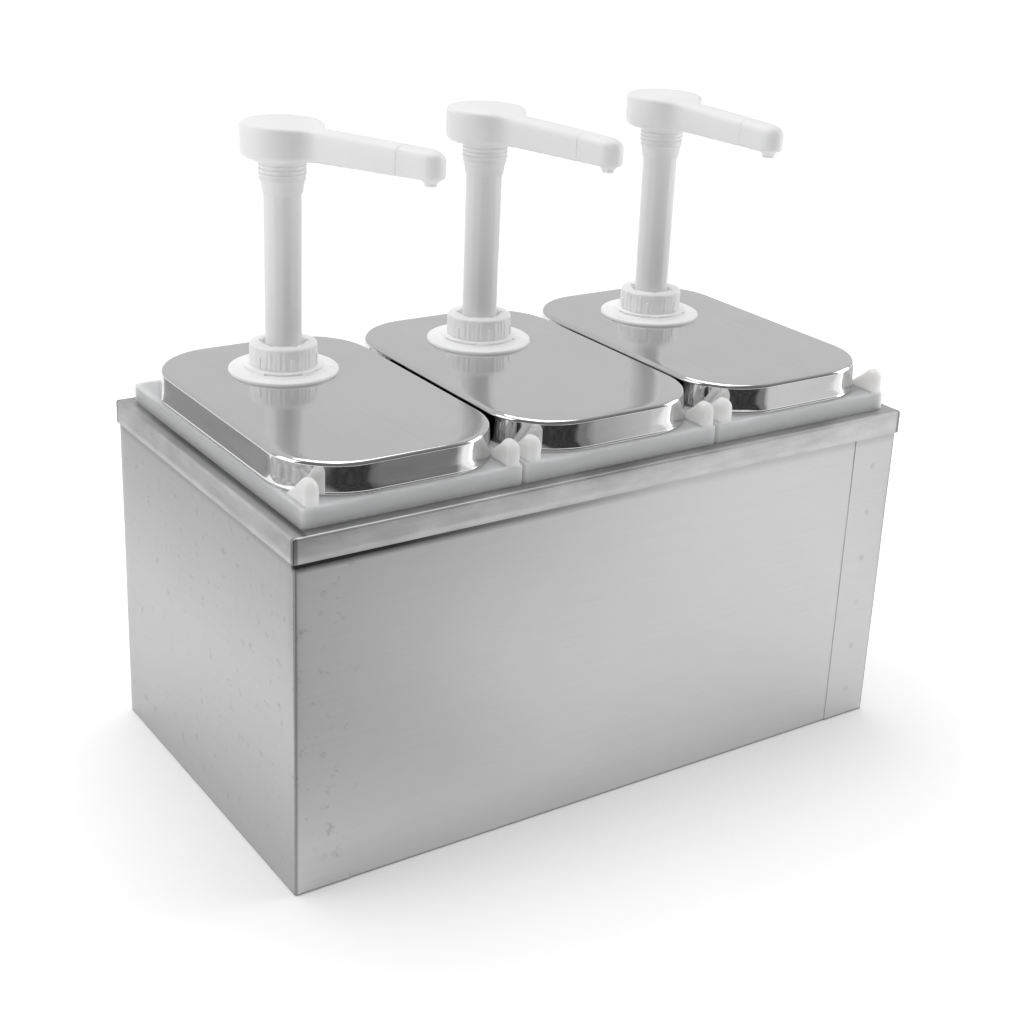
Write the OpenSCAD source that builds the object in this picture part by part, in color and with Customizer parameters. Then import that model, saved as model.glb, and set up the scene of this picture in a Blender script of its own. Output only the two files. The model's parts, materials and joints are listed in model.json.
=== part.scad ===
// Three-tub condiment pump station: a sheet-metal case holds three lift-out plastic tubs,
// and each tub has a steel lid that carries a hand pump with a swivelling spout.
// Millimetres, +Z up, front of the case towards -Y, origin at the middle of the underside.

/* [Case] */
// Width over the top frame
case_w = 440; // [438:0.5:450]
// Depth over the top frame
case_d = 247; // [244:0.5:260]
// Height of the case to the top face of its frame
case_h = 220; // [215:1:230]
// Thickness of the sheet metal
sheet = 0.8; // [0.6:0.1:1]
// Depth of the frame's down-turned skirt
skirt_h = 15; // [10:1:25]
// How far the walls stand in from the skirt's outer face
wall_inset = 1.3; // [1.2:0.1:2]
// Width of the side panels' return flanges
return_w = 35; // [25:1:50]

/* [Tubs] */
// Distance between neighbouring tubs
tub_pitch = 141; // [140.5:0.5:143]
// Width over the tub rim
tub_w = 139.5; // [138.5:0.5:140]
// Depth over the tub rim
tub_d = 230.5; // [228:0.5:234]
// Height of the rim above the case
rim_h = 12.3; // [10:0.1:14]
// Wall thickness of the tub
tub_wall = 2.2; // [1.8:0.1:3]
// Height of the lugs above the rim
lug_h = 14.7; // [10:0.1:16]

/* [Lids] */
// Width of a lid
lid_w = 139; // [137:0.5:140]
// Depth of a lid
lid_d = 222; // [218:0.5:226]
// Height of a lid from its lower edge to its top face
lid_h = 18.5; // [17:0.5:20]
// Corner radius of a lid, seen from above
lid_corner_r = 44; // [38:1:48]
// Radius of the lid's upper edge
lid_edge_r = 3; // [2:0.5:4]

/* [Pumps] */
// Distance of the pumps behind the middle of the case
pump_back = 46.5; // [40:0.5:50]
// Radius of the seat disc on the lid
seat_r = 33.7; // [31:0.1:36]
// Outer radius of the collar nut over its ribs
collar_r = 21.15; // [20.8:0.05:23]
// Height of the collar nut
collar_h = 14; // [13.5:0.1:14.6]
// Radius of the stem at its foot
stem_foot_r = 11; // [10.5:0.1:11.2]
// Radius of the stem at the head
stem_top_r = 11.5; // [11:0.1:11.6]
// Working stroke
stroke = 98; // [80:1:98]
// Radius of the pump head
head_r = 25; // [23:0.5:25]
// Height of the pump head
head_h = 21; // [20:0.5:22]
// Distance from the stem axis to the nozzle
spout_reach = 105; // [90:1:105]
// Width of the spout arm
spout_w = 17; // [15:0.5:18]
// Way the left, middle and right spouts point, in degrees to the right of straight ahead
spout_turns = [25, 11, 1]; // [-30:1:30]

/* [Hidden] */
$fn = 96;
// slip: the clearance between pieces that slide or turn in each other
slip = 0.1;
// over: how far a cutting solid runs past the faces that it cuts
over = 1;

// Case heights and places
wall_top = case_h - sheet;
wall_x = case_w / 2 - wall_inset;
wall_y = case_d / 2 - wall_inset;
base_flange_h = 12;
hem_h = 8;
opening_clear = 3;
weld_count = 6;
weld_r = 2.2;
weld_proud = 0.15;
weld_margin = 20;
frame_corner_r = 1;
open_corner_r = 6;

// Tub: a drafted body hangs from a deck with a square skirt
deck_side = 6.75;
deck_end = 11.25;
tub_draft = 6;
tub_corner_r = 38;
tub_bottom = 18;
rim_top = case_h + rim_h;
rim_corner_r = 2;
lug_w = 9;
lug_inset = 2;
lug_crest = 7;
lug_run = 19;
lug_nose_r = 4;
lug_set_back = 0.6;
lug_crest_fall = 0.3;
lug_clear = 0.4;
tub_body_w = tub_w - 2 * deck_side;
tub_body_d = tub_d - 2 * deck_end;

// Lid
lid_back = -1.5;
lid_bottom = rim_top + 0.2;
lid_top = lid_bottom + lid_h;
lid_steps = 5;

// Pump body, from the lid upwards and then down into the tub
lid_hole_r = 22.3;
seat_top = lid_top + 2;
boss_r = 24.4;
boss_h = 2.8;
spigot_r = 22;
spigot_h = 12;
nut_h = 9;
nut_r = 29;
neck_thread_r = 18.7;
neck_bore_r = 17.2;
neck_top = seat_top + 12;
gasket_h = 1;
flange_h = 1.4;
collar_gap = 0.2;
collar_foot = seat_top + boss_h + collar_gap;
collar_top = collar_foot + collar_h;
cup_bottom = collar_top - 32;
cup_r = 17;
cup_bore_r = 15.9;
barrel_r = 13.9;
bore_r = 12.6;
bush_r = 15.8;
bush_recess_r = 14.7;
bush_floor_h = 5;
guide_r = stem_top_r + 0.25;
bush_bottom = cup_bottom + 3;
bush_top = neck_top + gasket_h + flange_h;
collar_lip_r = 13.4;
collar_ribs = 40;

// Piston, spring and valves
piston_top = bush_bottom - 0.2;
piston_h = 18.8;
piston_r = bore_r - 0.3;
seal_h = 5;
groove_depth = 2;
groove_low = piston_top - piston_h + 5;
port_r = 3;
spring_gap = 24;
spring_seat = piston_top - piston_h - stroke - spring_gap;
spring_r = 9.5;
wire_r = 0.9;
spring_turns = 10;
spring_steps = 14;
ball_r = 4.6;
ball_lift = 3;
cage_r = 5.2;
cage_h = 2 * ball_r + ball_lift + 1;
valve_wall = 1.6;
inlet_seat = spring_seat - 3 - cage_h;
tube_r = 5;
tube_bore_r = 3.6;
socket_h = 15;
tube_foot = tub_bottom + tub_wall + 3.8;
ball_rest = sqrt(ball_r * ball_r - port_r * port_r) + 0.03;

// Plunger
head_bottom = collar_top + 112;
head_top = head_bottom + head_h;
thread_h = 13;
neck_r = 14.3;
neck_taper_h = 8;
neck_foot_r = 12.2;
stem_top = head_bottom - 6;
stem_foot = piston_top + 0.05;
stem_wall = 2;
channel_r = 4;
cap_joint = spout_reach - 18.5;
arm_bottom = head_bottom + 1;
arm_top = head_top - 2;
arm_root_fall = 3;
channel_z = head_bottom + 9.5;
head_edge_r = 2.5;
head_under_r = 5;
arm_fillet_r = 14;
// fillet_x, fillet_y: the centre of the fillet between the round head and the arm's side
fillet_x = spout_w / 2 + arm_fillet_r;
fillet_y = -sqrt(pow(head_r + arm_fillet_r, 2) - fillet_x * fillet_x);
nozzle_tip = head_bottom - 2;
nozzle_root = arm_bottom + 1;
nozzle_r = 3.8;
nozzle_bore_r = 2.4;
nozzle_cone_h = 3;
nozzle_cone_r = 6.6;
tip_plug_h = 6;
tip_plug_wall = 1.2;

SIDES = ["left", "middle", "right"];
STATION_PIECES = [
    "tub", "lid", "pump_seat", "retaining_nut", "neck_gasket", "collar_nut", "guide_bush",
    "pump_cylinder", "dip_tube", "return_spring", "piston", "piston_seal", "inlet_ball",
    "discharge_ball", "stem", "pump_head", "spout_tip"
];
CASE_PIECES = [
    "base_panel", "front_panel", "back_panel", "left_side_panel", "right_side_panel",
    "top_frame", "spot_welds"
];

// ---- shared shapes ----

// A rectangle about the origin with true arcs at its corners
module rounded_rect(w, d, r) {
    square([w - 2 * r, d], center = true);
    square([w, d - 2 * r], center = true);
    for (x = [-1, 1]) for (y = [-1, 1]) translate([x * (w / 2 - r), y * (d / 2 - r)]) circle(r);
}

// A ring or tube from z = low to z = high
module tube(outer, inner, low, high) {
    translate([0, 0, low]) difference() {
        cylinder(r = outer, h = high - low);
        translate([0, 0, -over]) cylinder(r = inner, h = high - low + 2 * over);
    }
}

// A solid cylinder from z = low to z = high
module rod(r, low, high) {
    translate([0, 0, low]) cylinder(r = r, h = high - low);
}

// ---- case ----

module base_panel() {
    inner_x = wall_x - sheet;
    inner_y = wall_y - 2 * sheet;
    color("lightgray") difference() {
        translate([-inner_x, -inner_y, 0]) cube([2 * inner_x, 2 * inner_y, base_flange_h]);
        translate([sheet - inner_x, sheet - inner_y, sheet])
            cube([2 * (inner_x - sheet), 2 * (inner_y - sheet), base_flange_h]);
    }
}

// A front or back wall, which lies behind the side panels' return flanges
module long_panel() {
    half = wall_x - sheet;
    translate([-half, -wall_y + sheet, 0]) cube([2 * half, sheet, wall_top]);
}

module front_panel() {
    color("lightgray") long_panel();
}

module back_panel() {
    color("lightgray") mirror([0, 1, 0]) long_panel();
}

// The left wall, folded round both corners
module side_panel() {
    translate([-wall_x, -wall_y, 0]) cube([sheet, 2 * wall_y, wall_top]);
    for (y = [-wall_y, wall_y - sheet]) translate([-wall_x, y, 0]) cube([return_w, sheet, wall_top]);
}

module left_side_panel() {
    color("silver") side_panel();
}

module right_side_panel() {
    color("silver") mirror([1, 0, 0]) side_panel();
}

// The frame: a plate with a down-turned skirt outside and a hem round its one opening
module top_frame() {
    open_w = 2 * tub_pitch + tub_body_w + 2 * opening_clear;
    open_d = tub_body_d + 2 * opening_clear;
    color("silver") difference() {
        union() {
            translate([0, 0, wall_top]) linear_extrude(sheet) rounded_rect(case_w, case_d, frame_corner_r);
            translate([0, 0, case_h - skirt_h]) linear_extrude(skirt_h) difference() {
                rounded_rect(case_w, case_d, frame_corner_r);
                square([case_w - 2 * sheet, case_d - 2 * sheet], center = true);
            }
            translate([0, 0, case_h - hem_h]) linear_extrude(hem_h)
                rounded_rect(open_w + 2 * sheet, open_d + 2 * sheet, open_corner_r + sheet);
        }
        translate([0, 0, case_h - hem_h - over]) linear_extrude(hem_h + 2 * over)
            rounded_rect(open_w, open_d, open_corner_r);
    }
}

// Spot welds that hold the return flanges to the long panels
module spot_welds() {
    pitch = (wall_top - skirt_h - 2 * weld_margin) / (weld_count - 1);
    color("gray") for (front = [0, 1]) mirror([0, front, 0])
        for (x = [-1, 1]) for (i = [0 : weld_count - 1])
            translate([x * (wall_x - return_w / 2), wall_y, weld_margin + i * pitch])
                rotate([-90, 0, 0]) cylinder(r = weld_r, h = weld_proud, $fn = 24);
}

// ---- tub and lid ----

// A drafted block with round corners, given by its size at the rim: four cones joined by two tapered prisms
module drafted(w, d, r, low, high) {
    low_in = tub_draft * (rim_top - low) / (rim_top - tub_bottom);
    high_in = tub_draft * (rim_top - high) / (rim_top - tub_bottom);
    core_w = w - 2 * r;
    core_d = d - 2 * r;
    for (x = [-1, 1]) for (y = [-1, 1]) translate([x * core_w / 2, y * core_d / 2, low])
        cylinder(r1 = r - low_in, r2 = r - high_in, h = high - low);
    rotate([90, 0, 0]) linear_extrude(core_d, center = true) drafted_side(w, low, high, low_in, high_in);
    rotate([90, 0, 90]) linear_extrude(core_w, center = true) drafted_side(d, low, high, low_in, high_in);
}

// The drafted block seen from one side
module drafted_side(w, low, high, low_in, high_in) {
    polygon([
        [low_in - w / 2, low],
        [w / 2 - low_in, low],
        [w / 2 - high_in, high],
        [high_in - w / 2, high]
    ]);
}

// One of the two upright lugs at the front corners, which keep the lid in its place
module lug() {
    peak = rim_top + lug_h;
    intersection() {
        // seen from the front: a post with a round top
        translate([0, lug_set_back - tub_d / 2, 0]) rotate([-90, 0, 0]) mirror([0, 1, 0])
            linear_extrude(lug_crest + lug_run) {
                translate([-lug_w / 2, rim_top - tub_wall]) square([lug_w, lug_h + tub_wall - lug_w / 2]);
                translate([0, peak - lug_w / 2]) circle(lug_w / 2);
            }
        // seen from the side: upright in front, with a long slope behind
        translate([-lug_w / 2 - over, -tub_d / 2, 0]) rotate([90, 0, 90]) linear_extrude(lug_w + 2 * over)
            union() {
                translate([0, rim_top - tub_wall]) square([lug_crest, lug_h + tub_wall - lug_nose_r]);
                translate([lug_nose_r, peak - lug_nose_r]) circle(lug_nose_r);
                polygon([
                    [lug_nose_r, rim_top - tub_wall],
                    [lug_nose_r, peak],
                    [lug_crest, peak - lug_crest_fall],
                    [lug_crest + lug_run, rim_top],
                    [lug_crest + lug_run, rim_top - tub_wall]
                ]);
            }
    }
}

// The lid's front corner, which the lugs give way to
module lid_corner(side) {
    corner_y = lid_back - lid_d / 2 + lid_corner_r;
    translate([side * (lid_w / 2 - lid_corner_r), corner_y, 0])
        rod(lid_corner_r + lug_clear, rim_top, rim_top + lug_h + over);
}

module tub() {
    inner_w = tub_body_w - 2 * tub_wall;
    inner_d = tub_body_d - 2 * tub_wall;
    color("white", 0.8) difference() {
        union() {
            drafted(tub_body_w, tub_body_d, tub_corner_r, tub_bottom, rim_top - tub_wall / 2);
            translate([0, 0, rim_top - tub_wall]) linear_extrude(tub_wall)
                rounded_rect(tub_w, tub_d, rim_corner_r);
            translate([0, 0, case_h]) linear_extrude(rim_h) difference() {
                rounded_rect(tub_w, tub_d, rim_corner_r);
                square([tub_w - 2 * tub_wall, tub_d - 2 * tub_wall], center = true);
            }
            for (side = [-1, 1]) difference() {
                translate([side * (tub_w / 2 - lug_inset - lug_w / 2), 0, 0]) lug();
                lid_corner(side);
            }
        }
        drafted(inner_w, inner_d, tub_corner_r - tub_wall, tub_bottom + tub_wall, rim_top + over);
    }
}

// The lid's outer form grown or shrunk by inset, with a rounded upper edge
module lid_form(inset, low, high) {
    hull() {
        translate([0, 0, low]) linear_extrude(high - low - lid_edge_r)
            rounded_rect(lid_w - 2 * inset, lid_d - 2 * inset, lid_corner_r - inset, $fn = 64);
        for (i = [1 : lid_steps]) {
            turn = 90 * i / lid_steps;
            draw_in = inset + lid_edge_r * (1 - cos(turn));
            translate([0, 0, high - lid_edge_r + lid_edge_r * sin(turn) - 0.01]) linear_extrude(0.01)
                rounded_rect(lid_w - 2 * draw_in, lid_d - 2 * draw_in, lid_corner_r - draw_in, $fn = 64);
        }
    }
}

module lid() {
    color("gainsboro") difference() {
        translate([0, lid_back, 0]) lid_form(0, lid_bottom, lid_top);
        translate([0, lid_back, 0]) lid_form(sheet, lid_bottom - over, lid_top - sheet);
        translate([0, pump_back, 0]) rod(lid_hole_r, lid_top - 2 * sheet - over, lid_top + over);
    }
}

// ---- pump body, about its own axis ----

// The disc that rests on the lid, with a low boss, a threaded spigot below and a threaded neck above
module pump_seat() {
    color("white") difference() {
        union() {
            rod(seat_r, lid_top, seat_top);
            rod(boss_r, lid_top, seat_top + boss_h);
            rod(spigot_r, lid_top - spigot_h, lid_top + sheet);
            rod(neck_thread_r, lid_top, neck_top);
        }
        rod(neck_bore_r, lid_top - spigot_h - over, neck_top + over);
    }
}

// The nut under the lid that clamps the seat, with grip lobes
module retaining_nut() {
    nut_top = lid_top - sheet;
    lobes = 8;
    lobe_r = 3;
    lobe_proud = 1.5;
    color("whitesmoke") difference() {
        union() {
            rod(nut_r - lobe_proud, nut_top - nut_h, nut_top);
            for (i = [0 : lobes - 1]) rotate([0, 0, i * 360 / lobes])
                translate([nut_r - lobe_r, 0, 0]) rod(lobe_r, nut_top - nut_h, nut_top);
        }
        rod(spigot_r + slip, nut_top - nut_h - over, nut_top + over);
    }
}

module neck_gasket() {
    color("lightgray") tube(neck_thread_r, neck_bore_r, neck_top, neck_top + gasket_h);
}

module collar_nut() {
    rib = 0.75;
    color("white") difference() {
        union() {
            rod(collar_r - rib, collar_foot, collar_top);
            for (i = [0 : collar_ribs - 1]) rotate([0, 0, i * 360 / collar_ribs])
                translate([collar_r - 2 * rib, -rib / 2, collar_foot]) cube([2 * rib, rib, collar_h - 3]);
        }
        rod(neck_thread_r + 2 * slip, collar_foot - over, bush_top);
        rod(collar_lip_r, collar_foot, collar_top + over);
    }
}

// Guides the stem, and takes the head's thread when the pump is screwed down
module guide_bush() {
    color("white") difference() {
        rod(bush_r, bush_bottom, bush_top);
        rod(guide_r, bush_bottom - over, bush_top);
        rod(bush_recess_r, bush_bottom + bush_floor_h, bush_top + over);
    }
}

// Flange, cup, barrel, valve cage and tube socket, turned about one axis
module pump_cylinder() {
    flange_low = neck_top + gasket_h;
    cage_top = inlet_seat + cage_h;
    socket_foot = inlet_seat - valve_wall - socket_h;
    color("whitesmoke") rotate_extrude() difference() {
        polygon([
            [0, socket_foot],
            [tube_r + valve_wall, socket_foot],
            [tube_r + valve_wall, inlet_seat - valve_wall],
            [cage_r + valve_wall, inlet_seat],
            [cage_r + valve_wall, cage_top],
            [barrel_r, spring_seat - 1],
            [barrel_r, cup_bottom - 2],
            [cup_r, cup_bottom],
            [cup_r, flange_low],
            [neck_thread_r, flange_low],
            [neck_thread_r, bush_top],
            [0, bush_top]
        ]);
        translate([0, cup_bottom]) square([cup_bore_r, bush_top - cup_bottom + over]);
        translate([0, spring_seat]) square([bore_r, cup_bottom - spring_seat + over]);
        translate([0, cage_top - over]) square([port_r + 1, spring_seat - cage_top + 2 * over]);
        translate([0, inlet_seat]) square([cage_r, cage_h]);
        translate([0, socket_foot]) square([port_r, inlet_seat - socket_foot + over]);
        translate([0, socket_foot - over]) square([tube_r + slip / 2, socket_h + over]);
    }
}

module dip_tube() {
    color("ivory") tube(tube_r, tube_bore_r, tube_foot, inlet_seat - valve_wall - slip);
}

// ---- moving pump pieces, about the pump axis ----

// A point on the spring's wire: turn along the coil, turn round the wire
function spring_point(along, round) =
    let (r = spring_r + wire_r * cos(round))
    [
        r * cos(360 * spring_turns * along),
        r * sin(360 * spring_turns * along),
        spring_seat + wire_r + (stroke + spring_gap - 2 * wire_r) * along + wire_r * sin(round)
    ];

module return_spring() {
    sides = 6;
    rings = spring_turns * spring_steps;
    points = [
        for (i = [0 : rings]) for (j = [0 : sides - 1]) spring_point(i / rings, 360 * j / sides)
    ];
    side_faces = [
        for (i = [0 : rings - 1]) for (j = [0 : sides - 1])
            let (a = i * sides + j, b = i * sides + (j + 1) % sides) [a, a + sides, b + sides, b]
    ];
    first = [for (j = [0 : sides - 1]) j];
    last = [for (j = [sides - 1 : -1 : 0]) rings * sides + j];
    color("darkgray") polyhedron(points, concat(side_faces, [first, last]));
}

module piston() {
    color("whitesmoke") difference() {
        rod(piston_r, piston_top - piston_h, piston_top);
        tube(piston_r + over, piston_r - groove_depth, groove_low, groove_low + seal_h);
        rod(port_r, piston_top - piston_h - over, piston_top + over);
    }
}

module piston_seal() {
    color("dimgray") tube(
        bore_r - slip / 2, piston_r - groove_depth + slip / 2,
        groove_low + slip / 2, groove_low + seal_h - slip / 2
    );
}

module inlet_ball() {
    color("silver") translate([0, 0, inlet_seat + ball_rest]) sphere(ball_r);
}

module discharge_ball() {
    color("silver") translate([0, 0, piston_top + ball_rest]) sphere(ball_r);
}

// A tapered sleeve with a delivery tube inside it, and the outlet valve's chamber in its foot
module stem() {
    foot_h = cage_h + 3;
    color("white") difference() {
        translate([0, 0, stem_foot]) cylinder(r1 = stem_foot_r, r2 = stem_top_r, h = stem_top - stem_foot);
        rod(channel_r - 1, stem_foot, stem_top + over);
        rod(cage_r, stem_foot - over, stem_foot + cage_h);
        tube(stem_foot_r - stem_wall, channel_r + 1, stem_foot + foot_h, stem_top + over);
    }
}

// ---- head and spout; the arm runs towards -Y ----

// The head and the whole arm seen from above
module arm_plan(from, to) {
    intersection() {
        difference() {
            union() {
                translate([-spout_w / 2, -spout_reach]) square([spout_w, spout_reach]);
                translate([0, -spout_reach]) circle(spout_w / 2);
                polygon([[0, 0], [-fillet_x, fillet_y], [fillet_x, fillet_y]]);
            }
            for (side = [-1, 1]) translate([side * fillet_x, fillet_y]) circle(arm_fillet_r);
        }
        translate([-2 * head_r, -to]) square([4 * head_r, to - from]);
    }
}

// The arm seen from the side: its top falls gently towards the nose
module arm_side() {
    far = spout_reach + spout_w;
    translate([-head_r, 0, 0]) rotate([90, 0, 90]) linear_extrude(2 * head_r)
        polygon([[0, arm_bottom], [0, arm_top], [-far, arm_top - arm_root_fall], [-far, arm_bottom + 1]]);
}

module arm(from, to) {
    intersection() {
        translate([0, 0, arm_bottom - over]) linear_extrude(head_h) arm_plan(from, to);
        arm_side();
    }
}

// The round button, with a small radius above and a larger one below
module head_button() {
    rotate_extrude() {
        translate([0, head_bottom]) square([head_r - head_under_r, head_h]);
        translate([0, head_bottom + head_under_r]) square([head_r, head_h - head_under_r - head_edge_r]);
        translate([0, head_bottom + head_under_r]) square([head_r - head_edge_r, head_h - head_under_r]);
        translate([head_r - head_under_r, head_bottom + head_under_r]) circle(head_under_r);
        translate([head_r - head_edge_r, head_top - head_edge_r]) circle(head_edge_r);
    }
}

module pump_head() {
    thread_foot = head_bottom - thread_h;
    rings = 4;
    ring_pitch = 2.6;
    color("white") difference() {
        union() {
            head_button();
            arm(0, cap_joint);
            rod(neck_r - 0.3, thread_foot, head_bottom + over);
            for (i = [0 : rings - 1])
                rod(neck_r, head_bottom - 2 - i * ring_pitch, head_bottom - 1.2 - i * ring_pitch);
            translate([0, 0, thread_foot - neck_taper_h])
                cylinder(r1 = neck_foot_r, r2 = neck_r - 1.1, h = neck_taper_h);
        }
        rod(stem_top_r + slip / 2, thread_foot - neck_taper_h - over, stem_top + slip / 2);
        rod(channel_r, stem_top - over, channel_z);
        translate([0, 0, channel_z]) rotate([90, 0, 0]) cylinder(r = channel_r, h = cap_joint + over);
    }
}

// The separate end of the spout: a plug into the arm, the nose and the nozzle below it
module spout_tip() {
    color("white") difference() {
        union() {
            arm(cap_joint, spout_reach + spout_w);
            translate([0, tip_plug_h - cap_joint, channel_z]) rotate([90, 0, 0])
                cylinder(r = channel_r - slip / 2, h = tip_plug_h + over);
            translate([0, -spout_reach, 0]) {
                rod(nozzle_r, nozzle_tip, channel_z);
                translate([0, 0, nozzle_root - nozzle_cone_h])
                    cylinder(r1 = nozzle_r + 0.8, r2 = nozzle_cone_r, h = nozzle_cone_h);
            }
        }
        translate([0, tip_plug_h - cap_joint + over, channel_z]) rotate([90, 0, 0])
            cylinder(r = channel_r - tip_plug_wall, h = spout_reach - cap_joint + tip_plug_h + over);
        translate([0, -spout_reach, 0]) rod(nozzle_bore_r, nozzle_tip - over, channel_z);
    }
}

// ---- places ----

// Moves a tub or a lid to its station
module at_station(i) {
    translate([(i - 1) * tub_pitch, 0, 0]) children();
}

// Moves a piece from the pump axis to its station
module on_pump(i) {
    at_station(i) translate([0, pump_back, 0]) children();
}

// Moves a piece from the pump axis to its station and turns it with the spout
module on_spout(i) {
    on_pump(i) rotate([0, 0, spout_turns[i]]) children();
}

base_panel();
front_panel();
back_panel();
left_side_panel();
right_side_panel();
top_frame();
spot_welds();

for (i = [0 : len(SIDES) - 1]) {
    at_station(i) tub();
    at_station(i) lid();
    on_pump(i) pump_seat();
    on_pump(i) retaining_nut();
    on_pump(i) neck_gasket();
    on_pump(i) collar_nut();
    on_pump(i) guide_bush();
    on_pump(i) pump_cylinder();
    on_pump(i) dip_tube();
    on_pump(i) return_spring();
    on_pump(i) piston();
    on_pump(i) piston_seal();
    on_pump(i) inlet_ball();
    on_pump(i) discharge_ball();
    on_spout(i) stem();
    on_spout(i) pump_head();
    on_spout(i) spout_tip();
}
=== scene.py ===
import json
import math

import bmesh
import bpy
from mathutils import Euler, Matrix, Vector, noise


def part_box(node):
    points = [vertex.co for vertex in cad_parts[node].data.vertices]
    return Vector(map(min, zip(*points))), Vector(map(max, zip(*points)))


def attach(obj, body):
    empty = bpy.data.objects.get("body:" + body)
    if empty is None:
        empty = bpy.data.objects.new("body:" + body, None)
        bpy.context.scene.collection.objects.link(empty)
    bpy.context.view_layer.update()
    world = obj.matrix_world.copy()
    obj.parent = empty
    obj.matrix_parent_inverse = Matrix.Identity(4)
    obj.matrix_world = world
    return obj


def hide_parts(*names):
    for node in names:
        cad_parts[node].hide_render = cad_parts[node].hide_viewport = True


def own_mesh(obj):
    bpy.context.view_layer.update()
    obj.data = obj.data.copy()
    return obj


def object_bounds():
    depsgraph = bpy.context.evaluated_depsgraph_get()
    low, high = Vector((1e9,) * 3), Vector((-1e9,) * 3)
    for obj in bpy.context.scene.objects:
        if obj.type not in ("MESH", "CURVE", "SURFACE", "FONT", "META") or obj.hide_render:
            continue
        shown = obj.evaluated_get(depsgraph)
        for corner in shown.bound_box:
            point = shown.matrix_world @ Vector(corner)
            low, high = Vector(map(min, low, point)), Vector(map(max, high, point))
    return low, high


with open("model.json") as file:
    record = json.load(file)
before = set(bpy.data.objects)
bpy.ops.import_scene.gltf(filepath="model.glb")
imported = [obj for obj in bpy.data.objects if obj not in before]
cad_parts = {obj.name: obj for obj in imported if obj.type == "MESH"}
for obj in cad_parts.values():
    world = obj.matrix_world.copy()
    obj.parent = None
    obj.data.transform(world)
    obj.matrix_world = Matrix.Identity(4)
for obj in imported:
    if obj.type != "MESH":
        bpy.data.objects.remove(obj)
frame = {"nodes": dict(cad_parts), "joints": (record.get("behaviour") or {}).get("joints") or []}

cad_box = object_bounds()
MM = 0.001
SIDES = ("left", "middle", "right")
SPOUT_TURNS = {"left": 25, "middle": 11, "right": 1}


def box_mm(node):
    """The lowest and the highest corner of a CAD node, in millimetres."""
    low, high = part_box(node)
    return low / MM, high / MM


def middle(node):
    """The middle of a CAD node's box, in millimetres."""
    low, high = box_mm(node)
    return (low + high) / 2


CASE_TOP = box_mm("top_frame")[1].z
SKIRT_FOOT = box_mm("top_frame")[0].z
RIM_TOP = box_mm("left_lid")[0].z - 0.2
LID_CORNER_R = 44.0

# ---- camera, light and floor ----

CAMERA_AT = Vector((-0.5865, -0.8602, 0.5851))
CAMERA_AIM = Vector((0.0, 0.0024, 0.1953))
CAMERA_ROLL = 2.449
CAMERA_LENS = 60.56
CAMERA_SHIFT = -0.0703
ROOM_LIGHT, BACKDROP_LIGHT = 0.24, 0.85
BACKDROP_WAY = (0.44, 0.90, 0.0)


def add_camera():
    data = bpy.data.cameras.new("camera")
    data.lens = CAMERA_LENS
    data.sensor_width = 36
    data.shift_y = CAMERA_SHIFT
    camera = bpy.data.objects.new("camera", data)
    bpy.context.scene.collection.objects.link(camera)
    aim = (CAMERA_AIM - CAMERA_AT).to_track_quat("-Z", "Y")
    roll = Euler((0, 0, math.radians(CAMERA_ROLL))).to_quaternion()
    camera.matrix_world = Matrix.Translation(CAMERA_AT) @ (aim @ roll).to_matrix().to_4x4()
    bpy.context.scene.camera = camera


def add_softbox(name, place, aim, size, power):
    data = bpy.data.lights.new(name, "AREA")
    data.shape = "RECTANGLE"
    data.size, data.size_y = size
    data.energy = power
    light = bpy.data.objects.new(name, data)
    bpy.context.scene.collection.objects.link(light)
    place = Vector(place)
    turn = (Vector(aim) - place).to_track_quat("-Z", "Y")
    light.matrix_world = Matrix.Translation(place) @ turn.to_matrix().to_4x4()
    return light


def add_world():
    """White behind the object to the camera. As light: a bright backdrop, and a dim room by the camera."""
    world = bpy.data.worlds.new("studio")
    bpy.context.scene.world = world
    world.use_nodes = True
    nodes, links = world.node_tree.nodes, world.node_tree.links
    nodes.clear()
    output = nodes.new("ShaderNodeOutputWorld")
    mix = nodes.new("ShaderNodeMixShader")
    seen = nodes.new("ShaderNodeBackground")
    light = nodes.new("ShaderNodeBackground")
    path = nodes.new("ShaderNodeLightPath")
    place = nodes.new("ShaderNodeTexCoord")
    away = nodes.new("ShaderNodeVectorMath")
    away.operation = "DOT_PRODUCT"
    away.inputs[1].default_value = BACKDROP_WAY
    depth = nodes.new("ShaderNodeMapRange")
    depth.interpolation_type = "SMOOTHSTEP"
    limits = {"From Min": -0.5, "From Max": 0.5, "To Min": ROOM_LIGHT, "To Max": BACKDROP_LIGHT}
    for key, value in limits.items():
        depth.inputs[key].default_value = value
    seen.inputs["Color"].default_value = (1, 1, 1, 1)
    links.new(place.outputs["Generated"], away.inputs[0])
    links.new(away.outputs["Value"], depth.inputs["Value"])
    links.new(depth.outputs["Result"], light.inputs["Strength"])
    links.new(path.outputs["Is Camera Ray"], mix.inputs["Fac"])
    links.new(light.outputs[0], mix.inputs[1])
    links.new(seen.outputs[0], mix.inputs[2])
    links.new(mix.outputs[0], output.inputs["Surface"])


def stage_plane(name, width, depth, place, turn, material):
    half_w, half_d = width / 2, depth / 2
    mesh = bpy.data.meshes.new(name)
    corners = [(-half_w, -half_d, 0), (half_w, -half_d, 0), (half_w, half_d, 0), (-half_w, half_d, 0)]
    mesh.from_pydata(corners, [], [(0, 1, 2, 3)])
    mesh.materials.append(material)
    plane = bpy.data.objects.new(name, mesh)
    bpy.context.scene.collection.objects.link(plane)
    plane.location = place
    plane.rotation_euler = turn
    return plane


# ---- materials ----

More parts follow.
